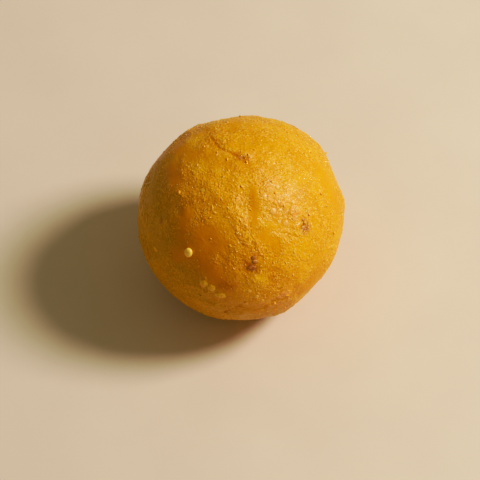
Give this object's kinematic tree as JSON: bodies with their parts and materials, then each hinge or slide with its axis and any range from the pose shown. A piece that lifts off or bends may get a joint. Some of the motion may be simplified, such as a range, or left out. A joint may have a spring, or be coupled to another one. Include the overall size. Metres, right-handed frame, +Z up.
{
  "type": "ladoo",
  "caption": "Round ladoo, a pressed ball of sweet gram-flour boondi with small pearls and raisin bits in its surface, resting on a small flat spot.",
  "frame": {"origin": "on the ground under the middle of the ball, in the plane of its flat spot", "axes": "+Z up; -Y towards the front, the side that the picture is taken from; +X to the right as seen from the front"},
  "size_m": [0.0563, 0.0565, 0.0533],
  "materials": {
    "gram_sweet": null
  },
  "bodies": {
    "root": {"ladoo": "gram_sweet"}
  },
  "joints": []
}
